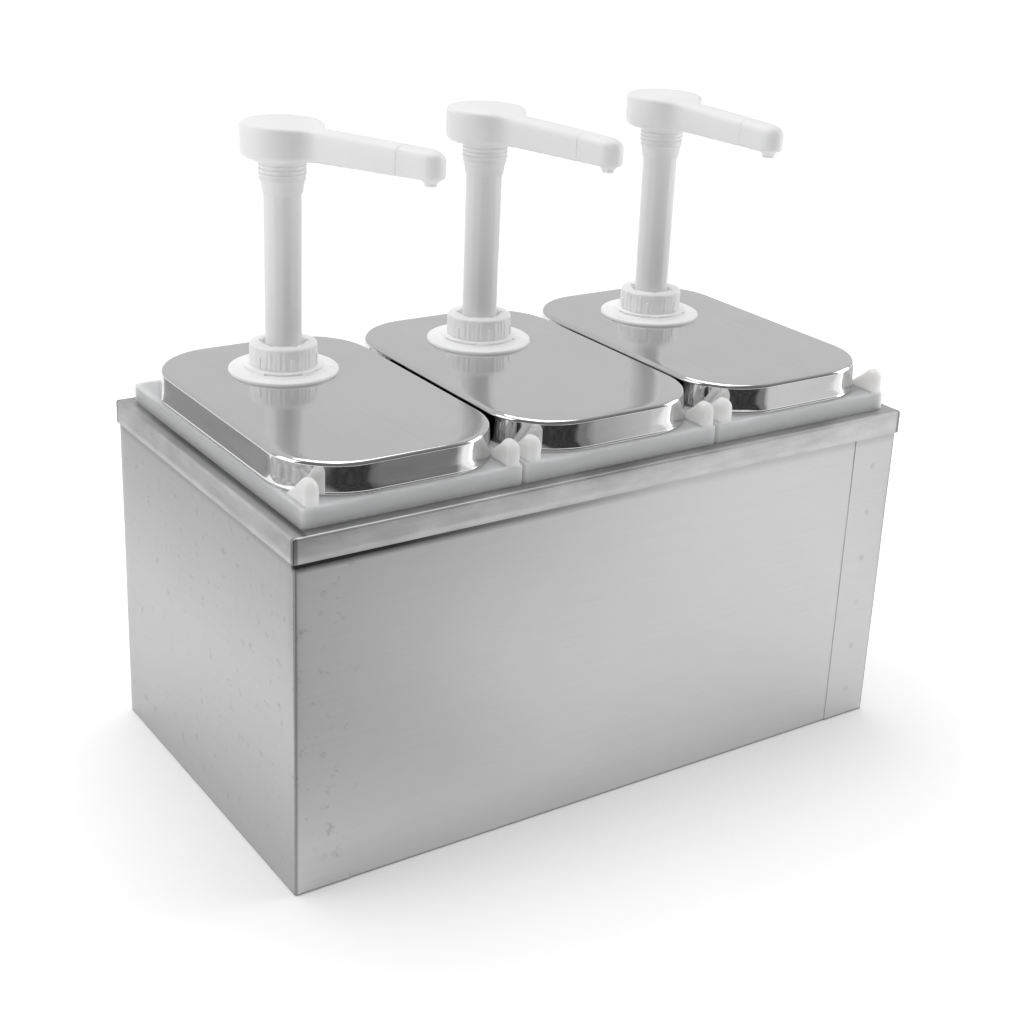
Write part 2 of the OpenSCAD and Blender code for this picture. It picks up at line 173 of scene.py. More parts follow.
class Shader:
    """A node material with a Principled BSDF, and short ways to add textures and sums to it."""

    def __init__(self, name, **values):
        self.material = bpy.data.materials.new(name)
        self.material.use_nodes = True
        self.tree = self.material.node_tree
        self.bsdf = self.tree.nodes["Principled BSDF"]
        for key, value in values.items():
            self.bsdf.inputs[key.replace("_", " ")].default_value = value
        self.coords = self.tree.nodes.new("ShaderNodeTexCoord")

    def link(self, source, target):
        self.tree.links.new(source, target)

    def axes(self, output):
        split = self.tree.nodes.new("ShaderNodeSeparateXYZ")
        self.link(self.coords.outputs[output], split.inputs["Vector"])
        return split.outputs["X"], split.outputs["Y"], split.outputs["Z"]

    def position(self):
        """The place on the object, in metres, as three values."""
        return self.axes("Object")

    def facing(self):
        """The way that the surface is turned on the object, as three values."""
        return self.axes("Normal")

    def noise(self, scale, stretch=(1, 1, 1), detail=2, rough=0.5):
        """Noise from 0 to 1 over the piece's own metres, drawn out along the axes with a small stretch."""
        place = self.tree.nodes.new("ShaderNodeMapping")
        place.inputs["Scale"].default_value = stretch
        texture = self.tree.nodes.new("ShaderNodeTexNoise")
        texture.inputs["Scale"].default_value = scale
        texture.inputs["Detail"].default_value = detail
        texture.inputs["Roughness"].default_value = rough
        self.link(self.coords.outputs["Object"], place.inputs["Vector"])
        self.link(place.outputs["Vector"], texture.inputs["Vector"])
        return texture.outputs["Fac"]

    def ramp(self, source, low, high, start=0.3, stop=0.7):
        """Turns a value from start to stop into one from low to high. The usual limits suit a noise."""
        node = self.tree.nodes.new("ShaderNodeMapRange")
        node.inputs["From Min"].default_value = start
        node.inputs["From Max"].default_value = stop
        node.inputs["To Min"].default_value = low
        node.inputs["To Max"].default_value = high
        self.link(source, node.inputs["Value"])
        return node.outputs["Result"]

    def rise(self, source, start, stop, low=0.0, high=1.0):
        """A ramp between two places in millimetres."""
        return self.ramp(source, low, high, start * MM, stop * MM)

    def math(self, operation, one, other):
        node = self.tree.nodes.new("ShaderNodeMath")
        node.operation = operation
        for value, socket in ((one, node.inputs[0]), (other, node.inputs[1])):
            if isinstance(value, (int, float)):
                socket.default_value = value
            else:
                self.link(value, socket)
        return node.outputs["Value"]

    def chain(self, operation, first, *others):
        for other in others:
            first = self.math(operation, first, other)
        return first

    def times(self, *values):
        return self.chain("MULTIPLY", *values)

    def plus(self, *values):
        return self.chain("ADD", *values)

    def most(self, *values):
        return self.chain("MAXIMUM", *values)

    def size(self, value):
        return self.math("ABSOLUTE", value, 0)

    def rest(self, value):
        """What a value lacks to 1."""
        return self.math("SUBTRACT", 1.0, value)

    def grey(self, value):
        """Uses a value as the base colour's grey."""
        node = self.tree.nodes.new("ShaderNodeCombineColor")
        for channel in ("Red", "Green", "Blue"):
            self.link(value, node.inputs[channel])
        self.link(node.outputs["Color"], self.bsdf.inputs["Base Color"])

    def rough(self, value):
        self.link(value, self.bsdf.inputs["Roughness"])

    def glow(self, value):
        """Uses a value as the strength of the material's own white light."""
        self.bsdf.inputs["Emission Color"].default_value = (1, 1, 1, 1)
        self.link(value, self.bsdf.inputs["Emission Strength"])

    def bump(self, height, strength, distance):
        node = self.tree.nodes.new("ShaderNodeBump")
        node.inputs["Strength"].default_value = strength
        node.inputs["Distance"].default_value = distance
        self.link(height, node.inputs["Height"])
        self.link(node.outputs["Normal"], self.bsdf.inputs["Normal"])

    def shade_to_left(self, left):
        """Painted shade: a factor that falls to left on faces turned to the left, and a little up the thin
        lugs.
        """
        shade = self.ramp(self.facing()[0], left, 1.0, -0.9, -0.3)
        z = self.position()[2]
        above_rim = self.rise(z, RIM_TOP - 0.5, RIM_TOP + 1.5)
        lug_shade = self.rise(z, RIM_TOP - 1, RIM_TOP + 8, 1.0, 0.7)
        return self.times(self.most(shade, above_rim), lug_shade)


def case_steel():
    """Dull rolled sheet with fine level grain and a mottled frame, darkened by painted shade under the
    skirt, up the corners, low on the left wall, along the foot and on the frame's plate.
    """
    s = Shader("case_steel", Metallic=1.0)
    x, y, z = s.position()
    clouds = s.noise(4)
    grain = s.noise(70, (0.25, 0.25, 16))
    specks = s.noise(110, detail=4, rough=0.7)
    mottle = s.noise(38, (0.6, 0.6, 1.6), 4, 0.6)
    wall, front, tub_low = (box_mm(node)[0] for node in ("left_side_panel", "front_panel", "left_tub"))
    on_frame = s.rise(z, SKIRT_FOOT - 0.2, SKIRT_FOOT)
    below_frame = s.rest(on_frame)

    # painted shadow under the skirt, in front and mostly to the left
    near_skirt = s.times(s.rise(z, SKIRT_FOOT - 6.4, SKIRT_FOOT - 2.4), below_frame)
    to_the_left = s.rise(x, -160, 30, 1.0, 0.15)
    in_front = s.rise(y, front.y + 0.9, front.y + 3.4, 1.0, 0.25)
    skirt_shadow = s.times(near_skirt, to_the_left, in_front)

    # a painted dark line up the case's corners (at the frame's skirt it also darkens the open seam),
    # painted shade low on the left wall, and a painted contact shadow where the case meets the floor
    corner_seam_and_shade = s.times(s.rise(s.size(x), -wall.x - 2, -wall.x - 1),
                        s.rise(s.size(y), -wall.y - 2, -wall.y - 1))
    on_side = s.times(s.rise(x, wall.x + 0.5, wall.x + 0.1), below_frame)
    low_side_shade = s.times(on_side, s.rise(z, 20, 110, 0.22, 0.06))
    contact_shadow = s.rise(z, 0.4, 1.4, 0.5, 0.0)

    # painted shade on the frame's plate, beside the left tub and in front of the tubs
    on_plate = s.rise(z, CASE_TOP - 0.3, CASE_TOP - 0.05)
    beside = s.rise(x, tub_low.x + 1, tub_low.x)
    by_tub = s.times(beside, s.rise(x, tub_low.x - 4.5, tub_low.x - 2, 0.25, 0.65),
                     s.rise(y, 50, 110, 1.0, 0.3))
    before_tubs = s.times(s.rest(beside), s.rise(x, -200, 200, 0.38, 0.15))
    plate_shade = s.times(on_plate, s.most(by_tub, before_tubs))

    # all the painted shade together darkens the tone
    painted_shade = s.most(s.times(skirt_shadow, 0.92), s.times(corner_seam_and_shade, 0.5), low_side_shade, contact_shadow, plate_shade)
    by_corner = s.times(s.rise(x, -175, -190), below_frame)
    tone = s.plus(s.ramp(clouds, 0.57, 0.61), s.ramp(grain, -0.012, 0.012),
                  s.times(s.ramp(mottle, -0.13, 0.09), on_frame),
                  s.times(s.ramp(specks, 0.0, -0.16, 0.60, 0.72), by_corner))
    s.grey(s.times(tone, s.rest(painted_shade)))
    s.rough(s.plus(s.ramp(clouds, 0.36, 0.40), s.times(skirt_shadow, 0.2),
                   s.times(s.ramp(mottle, 0.0, 0.1), on_frame)))
    s.bump(s.plus(grain, s.times(specks, 0.3)), 0.2, 0.2 * MM)
    return s.material


def lid_steel():
    """Polished steel: nearly a mirror on the skirt, and a little softer on the top."""
    s = Shader("lid_steel", Metallic=1.0)
    upward = s.ramp(s.facing()[2], 0.0, 1.0, 0.80, 0.98)
    haze = s.noise(14, detail=3)
    scratches = s.noise(220, (1, 0.04, 1))
    rough_top = s.plus(s.ramp(haze, 0.05, 0.08), s.ramp(scratches, 0.0, 0.03, 0.5, 0.8))
    s.rough(s.plus(s.times(upward, rough_top), 0.04))
    s.grey(s.plus(s.ramp(haze, 0.66, 0.70), s.ramp(scratches, 0.0, -0.02, 0.55, 0.8)))
    waves = s.noise(30, (1, 1, 0.3))
    s.bump(s.plus(s.times(waves, 0.6), s.times(scratches, 0.04)), 0.2, 0.6 * MM)
    return s.material


def plain_metal(name, tone, rough):
    """Bright turned or drawn steel for springs, balls and welds."""
    s = Shader(name, Metallic=1.0)
    marks = s.noise(400, (1, 1, 0.2))
    s.grey(s.ramp(marks, tone - 0.05, tone + 0.03))
    s.rough(s.ramp(marks, rough, rough + 0.12))
    s.bump(marks, 0.15, 0.1 * MM)
    return s.material


def plastic(name, tone, rough, milk, reach, clear=0.0, glow=0.0, left=1.0):
    """Moulded plastic: light spreads in it by milk and passes through by clear; glow is painted light, a
    white light of its own, and left paints shade on faces turned to the left.
    """
    s = Shader(name, Metallic=0.0, IOR=1.49, Subsurface_Weight=milk, Subsurface_Scale=reach)
    s.bsdf.inputs["Subsurface Radius"].default_value = (1.0, 0.97, 0.94)
    s.bsdf.inputs["Transmission Weight"].default_value = clear
    s.bsdf.inputs["Emission Color"].default_value = (1, 1, 1, 1)
    s.bsdf.inputs["Emission Strength"].default_value = glow
    flow = s.noise(25, (1, 1, 0.4))
    speck = s.noise(900)
    tones = s.ramp(flow, tone - 0.015, tone + 0.01)
    s.grey(s.times(tones, s.shade_to_left(left)) if left < 1 else tones)
    s.rough(s.ramp(flow, rough - 0.04, rough + 0.05))
    s.bump(s.plus(s.times(flow, 0.7), s.times(speck, 0.12)), 0.12, 0.5 * MM)
    return s


def pump_plastic():
    """White plastic with painted light: it glows a little by the lid, round the collar."""
    s = plastic("pump_plastic", 0.84, 0.38, 0.15, 0.004)
    z = s.position()[2]
    lid_top, collar_top = box_mm("left_lid")[1].z, box_mm("left_collar_nut")[1].z
    # painted light from the lid's top to just above the collar
    s.glow(s.times(s.rise(z, lid_top - 1, lid_top), s.rise(z, collar_top - 2, collar_top + 3, 0.085, 0.0)))
    return s.material


def rubber():
    s = Shader("seal_rubber", Metallic=0.0)
    grain = s.noise(700, detail=3)
    s.grey(s.ramp(grain, 0.05, 0.08))
    s.rough(s.ramp(grain, 0.55, 0.7))
    s.bump(grain, 0.3, 0.2 * MM)
    return s.material


def floor_paper():
    """Pale paper that glows a little, and more far from the object, so that it stays evenly pale."""
    s = Shader("floor_paper", Metallic=0.0, Roughness=0.9, Specular_IOR_Level=0.1)
    s.grey(s.ramp(s.noise(3), 0.92, 0.94))
    away = s.tree.nodes.new("ShaderNodeVectorMath")
    away.operation = "LENGTH"
    s.link(s.coords.outputs["Object"], away.inputs[0])
    s.glow(s.ramp(away.outputs["Value"], 0.22, 0.65, 0.4, 2.6))
    return s.material


def card(name, blot_low, blot_high):
    """A black card that glows unevenly. The cards lie on the floor, and only reflections see them."""
    s = Shader(name, Metallic=0.0, Roughness=1.0, Specular_IOR_Level=0.0)
    s.bsdf.inputs["Base Color"].default_value = (0, 0, 0, 1)
    blots = s.ramp(s.noise(7, detail=3), blot_low, blot_high)
    s.glow(blots)
    return s, blots


def room_card(place, depth):
    """The room in front: dark on the camera's side, then grey, then pale to the right and by the object."""
    s, blots = card("room_card", 0.0, 0.05)
    x, y, _ = s.position()
    # the distance to the right of a line that runs out from between the left and the middle lid
    line_from, line_way = Vector((0.07, -0.11)), Vector((0.824, 0.566))
    origin = (Vector(place) - line_from).dot(line_way)
    right = s.plus(s.times(x, line_way.x), s.times(y, line_way.y), origin)
    back = depth / 2
    left_end = s.ramp(x, 0.30, 0.0, -1.0, -0.6)
    back_edge = s.ramp(y, 0.0, 0.5, back - 0.14, back)
    near_right = s.times(s.ramp(x, 0.0, 0.45, 0.2, 0.35), s.ramp(y, 0.0, 1.0, back - 0.40, back - 0.25))
    bands = s.plus(s.ramp(right, 0.03, 0.22, -0.44, -0.30), s.ramp(right, 0.0, 0.54, -0.12, 0.05))
    s.glow(s.plus(bands, left_end, back_edge, near_right, blots))
    return s.material


def soft_card(name, width, depth, glow, edge):
    """A card whose glow rises from its middle to its edges."""
    s, blots = card(name, 0.0, 0.06)
    x, y, _ = s.position()
    out = s.most(s.math("DIVIDE", s.size(x), width / 2), s.math("DIVIDE", s.size(y), depth / 2))
    s.glow(s.plus(blots, s.ramp(out, glow, edge, 0.35, 1.0)))
    return s.material


# ---- outlines and surfaces, in millimetres ----

def arc(centre_x, centre_y, radius, start, stop, steps):
    """Points along an arc, from one angle in degrees to another."""
    angles = [math.radians(start + (stop - start) * k / steps) for k in range(steps + 1)]
    return [(centre_x + radius * math.cos(a), centre_y + radius * math.sin(a)) for a in angles]


def rounded(corners, steps=4):
    """A closed outline with its corners rounded. Each corner is (x, y) or (x, y, radius)."""
    points = []
    for i, corner in enumerate(corners):
        here = Vector(corner[:2])
        if len(corner) == 2:
            points.append(tuple(here))
            continue
        back = (Vector(corners[i - 1][:2]) - here).normalized()
        ahead = (Vector(corners[(i + 1) % len(corners)][:2]) - here).normalized()
        half = back.angle(ahead) / 2
        centre = here + (back + ahead).normalized() * corner[2] / math.sin(half)
        start = here + back * corner[2] / math.tan(half) - centre
        stop = here + ahead * corner[2] / math.tan(half) - centre
        turn = math.atan2(start.x * stop.y - start.y * stop.x, start.dot(stop))
        first = math.atan2(start.y, start.x)
        points += arc(centre.x, centre.y, corner[2], math.degrees(first), math.degrees(first + turn), steps)
    return points


def frame_ring(width, depth, radius, z, place=(0, 0), corner_steps=8, side_steps=1):
    """A level rounded rectangle as a closed ring of points, anticlockwise from its right side."""
    ring = []
    for quarter, (sx, sy) in enumerate(((1, 1), (-1, 1), (-1, -1), (1, -1))):
        cx, cy = sx * (width / 2 - radius), sy * (depth / 2 - radius)
        ring += arc(cx, cy, radius, 90 * quarter, 90 * quarter + 90, corner_steps)
        nx, ny = ((-1, 1), (-1, -1), (1, -1), (1, 1))[quarter]
        after = (nx * (width / 2 - radius), ny * (depth / 2 - radius))
        leave = ring[-1]
        enter = arc(*after, radius, 90 * quarter + 90, 90 * quarter + 90, 1)[0]
        for k in range(1, side_steps):
            t = k / side_steps
            ring.append((leave[0] + (enter[0] - leave[0]) * t, leave[1] + (enter[1] - leave[1]) * t))
    return [(x + place[0], y + place[1], z) for x, y in ring]


def loft(rings, closed=False):
    """Joins rings of equal length. An open stack gets a face over each end; a closed one joins its ends."""
    count = len(rings[0])
    points = [p for ring in rings for p in ring]
    faces = []
    pairs = [(i, i + 1) for i in range(len(rings) - 1)]
    if closed:
        pairs.append((len(rings) - 1, 0))
    else:
        faces.append(list(range(count)))
        faces.append([len(points) - 1 - k for k in range(count)])
    for low, high in pairs:
        for k in range(count):
            after = (k + 1) % count
            faces.append((low * count + k, low * count + after, high * count + after, high * count + k))
    return points, faces


def lathe(profile, steps=96, shape=None):
    """Turns a closed outline of (radius, height) about Z. shape(radius, height, angle) may move points."""
    points, rings, faces = [], [], []
    for radius, z in profile:
        if radius < 1e-6:
            rings.append([len(points)] * steps)
            points.append((0, 0, z))
            continue
        rings.append(list(range(len(points), len(points) + steps)))
        for k in range(steps):
            angle = 2 * math.pi * k / steps
            r, h = shape(radius, z, angle) if shape else (radius, z)
            points.append((r * math.cos(angle), r * math.sin(angle), h))
    for low, high in zip(rings, rings[1:] + rings[:1]):
        for k in range(steps):
            after = (k + 1) % steps
            face = []
            for index in (low[k], low[after], high[after], high[k]):
                if index not in face:
                    face.append(index)
            if len(face) > 2:
                faces.append(face)
    return points, faces


def moved(shape, place=(0, 0, 0), turn=0):
    """Turns a shape about Z in degrees and moves it."""
    spin = Matrix.Translation(place) @ Matrix.Rotation(math.radians(turn), 4, "Z")
    return [tuple(spin @ Vector(p)) for p in shape[0]], shape[1]


def joined(*shapes):
    """Several closed shapes as one list of points and faces."""
    points, faces = [], []
    for shape in shapes:
        base = len(points)
        points += shape[0]
        faces += [[base + i for i in face] for face in shape[1]]
    return points, faces


def mesh_from(name, shape):
    mesh = bpy.data.meshes.new(name)
    mesh.from_pydata([Vector(p) * MM for p in shape[0]], [], [list(f) for f in shape[1]])
    work = bmesh.new()
    work.from_mesh(mesh)
    bmesh.ops.remove_doubles(work, verts=work.verts, dist=1e-7)
    bmesh.ops.recalc_face_normals(work, faces=work.faces)
    work.to_mesh(mesh)
    work.free()
    return mesh


def united(name, shapes):
    """One closed mesh from shapes that run into each other."""
    whole = bpy.data.objects.new(name, mesh_from(name, shapes[0]))
    bpy.context.scene.collection.objects.link(whole)
    tools = []
    for shape in shapes[1:]:
        tool = bpy.data.objects.new(name + "_tool", mesh_from(name + "_tool", shape))
        bpy.context.scene.collection.objects.link(tool)
        join = whole.modifiers.new("join", "BOOLEAN")
        join.operation = "UNION"
        join.solver = "EXACT"
        join.object = tool
        tools.append(tool)
    bpy.context.view_layer.update()
    mesh = bpy.data.meshes.new_from_object(whole.evaluated_get(bpy.context.evaluated_depsgraph_get()))
    for used in (whole, *tools):
        bpy.data.objects.remove(used)
    return mesh


def piece(name, shape, body, slot, *nodes, sharp=35):
    """Makes a piece from a shape or a mesh, gives it its material and hangs it on its body."""
    mesh = shape if isinstance(shape, bpy.types.Mesh) else mesh_from(name, shape)
    mesh.name = name
    mesh.materials.clear()
    mesh.materials.append(MATERIALS[slot])
    mesh.shade_smooth()
    mesh.set_sharp_from_angle(angle=math.radians(sharp))
    thing = bpy.data.objects.new(name, mesh)
    bpy.context.scene.collection.objects.link(thing)
    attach(thing, body)
    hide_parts(*nodes)
    return thing


# ---- case ----

SHEET = 0.8


def bent_sheet(path, low, high, rows, bulge, seed):
    """A sheet that follows a path seen from above, on the path's right-hand side, and swells softly."""
    flat = [Vector(p) for p in path]
    normals = []
    for i in range(len(flat)):
        ahead = flat[min(i + 1, len(flat) - 1)] - flat[max(i - 1, 0)]
        normals.append(Vector((ahead.y, -ahead.x)).normalized())
    points, faces = [], []
    for row in range(rows + 1):
        z = low + (high - low) * row / rows
        edge = math.sin(math.pi * row / rows)
        for i, (spot, normal) in enumerate(zip(flat, normals)):
            swell = bulge * edge * noise.noise(Vector((spot.x / 70, spot.y / 70 + seed, z / 60)))
            for inset in (0, SHEET):
                place = spot + normal * (swell - inset)
                points.append((place.x, place.y, z))
    width = 2 * len(flat)
    for row in range(rows):
        for i in range(len(flat) - 1):
            a = row * width + 2 * i
            faces.append((a, a + 2, a + width + 2, a + width))
            faces.append((a + 1, a + width + 1, a + width + 3, a + 3))
        for a in (row * width, row * width + width - 2):
            faces.append((a, a + width, a + width + 1, a + 1))
    for i in range(len(flat) - 1):
        for a in (2 * i, rows * width + 2 * i):
            faces.append((a, a + 1, a + 3, a + 2))
    return points, faces


def straight(start, stop, steps):
    return [tuple(Vector(start).lerp(Vector(stop), k / steps)) for k in range(steps + 1)]


def side_panel(sign):
    """A side wall whose two return flanges fold round the corners over the long panels."""
    low, high = box_mm("left_side_panel")
    bend = 1.6
    near, far = low.y, high.y
    outer, edge = low.x, high.x
    path = straight((edge, far), (outer + bend, far), 8)
    path += arc(outer + bend, far - bend, bend, 90, 180, 5)[1:]
    path += straight((outer, far - bend), (outer, near + bend), 30)[1:]
    path += arc(outer + bend, near + bend, bend, 180, 270, 5)[1:]
    path += straight((outer + bend, near), (edge, near), 8)[1:]
    points, faces = bent_sheet(path, low.z, high.z, 24, 0.16, 3 if sign < 0 else 8)
    return [(x * -sign, y, z) for x, y, z in points], faces


def long_panel(node, seed):
    """A front or back panel: one flat sheet that lies behind the flanges."""
    low, high = box_mm(node)
    front = middle(node).y < 0
    start, stop = (low.x, high.x) if front else (high.x, low.x)
    # the panel is pressed a little way up between the flanges, and its swell only goes inwards
    limit = low.y - 0.45 if front else high.y + 0.45
    path = straight((start, limit), (stop, limit), 60)
    shape = bent_sheet(path, low.z, high.z, 24, 0.14, seed)
    points = [(x, max(py, limit) if front else min(py, limit), z) for x, py, z in shape[0]]
    return points, shape[1]


def top_frame():
    """The frame's plate, its rolled edge and skirt, and the hem round the opening."""
    low, high = box_mm("top_frame")
    tub_low, tub_high = box_mm("middle_tub")
    width, depth = high.x - low.x, high.y - low.y
    pitch = middle("right_tub").x - middle("middle_tub").x
    open_w = 2 * pitch + (tub_high.x - tub_low.x) - 7.5
    open_d = (tub_high.y - tub_low.y) - 16.5
    roll, lip, hem, top = 1.8, 1.2, 8, high.z

    def outer(inset, z):
        return frame_ring(width - 2 * inset, depth - 2 * inset, max(1.2 - inset, 0.4), z, side_steps=12)

    def inner(inset, z):
        return frame_ring(open_w - 2 * inset, open_d - 2 * inset, 6 - inset, z, side_steps=12)

    rings = [outer(SHEET, low.z), outer(0.2, low.z), outer(0, low.z + 0.2)]
    rings += [outer(0, low.z + 0.2 + (top - low.z - roll - 0.2) * k / 3) for k in (1, 2, 3)]
    rings += [outer(roll - x, top - roll + y) for x, y in arc(0, 0, roll, 0, 90, 5)[1:]]
    rings += [inner(-lip + x, top - lip + y) for x, y in arc(0, 0, lip, 90, 0, 4)]
    rings += [inner(0, top - hem), inner(-SHEET, top - hem)]
    rings += [inner(-SHEET, top - lip), inner(-lip - 0.4, top - SHEET)]
    rings += [outer(roll, top - SHEET), outer(SHEET, top - roll)]
    shape = loft(rings, closed=True)
    return [skirt_wear(p, low, high) for p in shape[0]], shape[1]


def skirt_wear(point, low, high):
    """Pulls in the open seam at each corner of the skirt, and softly dents the skirt elsewhere."""
    x, y, z = point
    from_side, from_end = high.x - abs(x), high.y - abs(y)
    if z > high.z - 0.5 or min(from_side, from_end) > SHEET + 0.1:
        return point
    corner = max(from_side, from_end)
    if corner < 0.45:
        pull = 0.7
        return x - math.copysign(pull, x), y - math.copysign(pull, y), z
    swell = 0.12 * noise.noise(Vector((x / 35, y / 35, z / 12 + 5)))
    if from_end < from_side:
        return x, y - math.copysign(abs(swell), y), z
    return x - math.copysign(abs(swell), x), y, z


def spot_welds():
    """Shallow dished spots in four upright rows."""
    outside = box_mm("left_side_panel")[1].y
    low, high = box_mm("spot_welds")
    radius, count = 2.2, 6
    foot, head = low.z + radius, high.z - radius
    profile = [(0, -0.2), (0, 0.01), (0.8, 0.02), (1.4, 0.06), (1.8, 0.05), (radius, -0.01), (radius, -0.2)]
    spots = []
    for x in (low.x + radius, high.x - radius):
        for facing in (-1, 1):
            for k in range(count):
                points, faces = lathe(profile, 20)
                z = foot + (head - foot) * k / (count - 1)
                y = outside * facing
                spots.append(([(x + px, y + facing * pz, z + py) for px, py, pz in points], faces))
    return joined(*spots)


def build_case():
    piece("front_sheet", long_panel("front_panel", 1), "case", "case_steel", "front_panel")
    piece("back_sheet", long_panel("back_panel", 6), "case", "case_steel", "back_panel")
    piece("left_side_sheet", side_panel(-1), "case", "case_steel", "left_side_panel")
    piece("right_side_sheet", side_panel(1), "case", "case_steel", "right_side_panel")
    piece("frame_sheet", top_frame(), "case", "case_steel", "top_frame", sharp=50)
    piece("weld_spots", spot_welds(), "case", "weld_steel", "spot_welds")


# ---- tub and lid ----

TUB_WALL = 2.2
LUG_W, LUG_H, LUG_RUN = 9.0, 14.7, 25.0


def tub_shell(low, high, centre):
    """The drafted body, the deck with its square skirt, and the inside."""
    width, depth = high.x - low.x, high.y - low.y
    rim = RIM_TOP
    floor = low.z
    body_w, body_d, body_r, draft = width - 13.5, depth - 22.5, 38, 6

    def body(z, inset=0.0):
        draw_in = inset + draft * (rim - z) / (rim - floor)
        radius = max(body_r - draw_in, 1)
        return frame_ring(body_w - 2 * draw_in, body_d - 2 * draw_in, radius, z, centre, side_steps=6)

    def deck(z, inset=0.0, radius=2.0):
        return frame_ring(width - 2 * inset, depth - 2 * inset, radius, z, centre, side_steps=6)

    foot_r, edge, under = 4.0, 1.6, rim - TUB_WALL
    rings = [body(floor + foot_r - y, foot_r - x) for x, y in arc(0, 0, foot_r, 90, 0, 5)]
    rings += [body(floor + (under - 3 - floor) * t) for t in (0.25, 0.5, 0.75, 1)]
    rings += [body(under, -1.5)]
    rings += [deck(under, TUB_WALL + 1, 1), deck(under - 1, TUB_WALL, 1)]
    rings += [deck(CASE_TOP + 0.4, TUB_WALL, 1), deck(CASE_TOP, TUB_WALL - 0.4, 1.2)]
    rings += [deck(CASE_TOP, 0.4, 1.8), deck(CASE_TOP + 0.4, 0, 2), deck((CASE_TOP + rim) / 2, 0, 2)]
    rings += [deck(rim - edge + y, edge - x, 2.2) for x, y in arc(0, 0, edge, 0, 90, 5)]
    rings += [deck(rim, 4, 6)]
    rings += [body(rim - edge + y, TUB_WALL - edge + x) for x, y in arc(0, 0, edge, 90, 0, 4)]
    rings += [body(floor + TUB_WALL + 4 + (rim - floor - 10) * t, TUB_WALL) for t in (0.66, 0.33, 0)]
    rings += [body(floor + TUB_WALL + 4 - y, TUB_WALL + 4 - x) for x, y in arc(0, 0, 4, 0, 90, 5)[1:]]
    return loft(rings)


def lug(side, low, high, centre):
    """An upright lug at a front corner: a round-topped post with a slope behind it."""
    front = low.y
    x_mid = centre[0] + side * ((high.x - low.x) / 2 - 2 - LUG_W / 2)
    rings = []
    stations = [0.0, 0.25, 0.8, 1.6, 2.6, 4, 5.5, 7, 8, 10, 12, 15, 18, 21, LUG_RUN]
    for y in stations:
        if y < 4:
            top = LUG_H - 4 + math.sqrt(16 - (4 - y) ** 2)
        elif y < 7:
            top = LUG_H - 0.3 * ((y - 4) / 3) ** 2
        else:
            fall = (y - 7) / (LUG_RUN - 7)
            top = (LUG_H - 0.3) * (1 - fall * (1.12 - 0.12 * fall))
        half = LUG_W / 2 - (0.9 * (1 - y / 1.6) ** 2 if y < 1.6 else 0)
        foot = RIM_TOP - 1.5
        crown = min(half, top * 0.8 + 0.4)
        shoulder = RIM_TOP + top - crown
        ring = [(x_mid - half - 0.8, foot), (x_mid - half, min(RIM_TOP + 1.0, shoulder))]
        ring += [(x_mid + half * math.cos(a), shoulder + crown * math.sin(a))
                 for a in [math.pi - math.pi * k / 10 for k in range(11)]]
        ring += [(x_mid + half, min(RIM_TOP + 1.0, shoulder)), (x_mid + half + 0.8, foot)]
        rings.append([(px, front + 0.5 + y, pz) for px, pz in ring])
    points, faces = loft(rings)
    lid_low, lid_high = box_mm("middle_lid")
    reach = LID_CORNER_R + 0.4
    sideways = (lid_high.x - lid_low.x) / 2 - LID_CORNER_R
    corner = Vector((centre[0] + side * sideways, lid_low.y + LID_CORNER_R))
    cleared = []
    for px, py, pz in points:
        away = Vector((px, py)) - corner
        if away.length < reach and pz > RIM_TOP - 0.2:
            spot = corner + away.normalized() * reach
            px, py = spot.x, spot.y
        cleared.append((px, py, pz))
    return cleared, faces


def tub(side):
    low, high = box_mm(f"{side}_tub")
    centre = ((low.x + high.x) / 2, (low.y + high.y) / 2)
    shapes = [tub_shell(low, high, centre)] + [lug(s, low, high, centre) for s in (-1, 1)]
    moulding = united("tub", shapes)
    piece(f"{side}_tub_moulding", moulding, f"{side}_tub", "tub_plastic", f"{side}_tub", sharp=45)


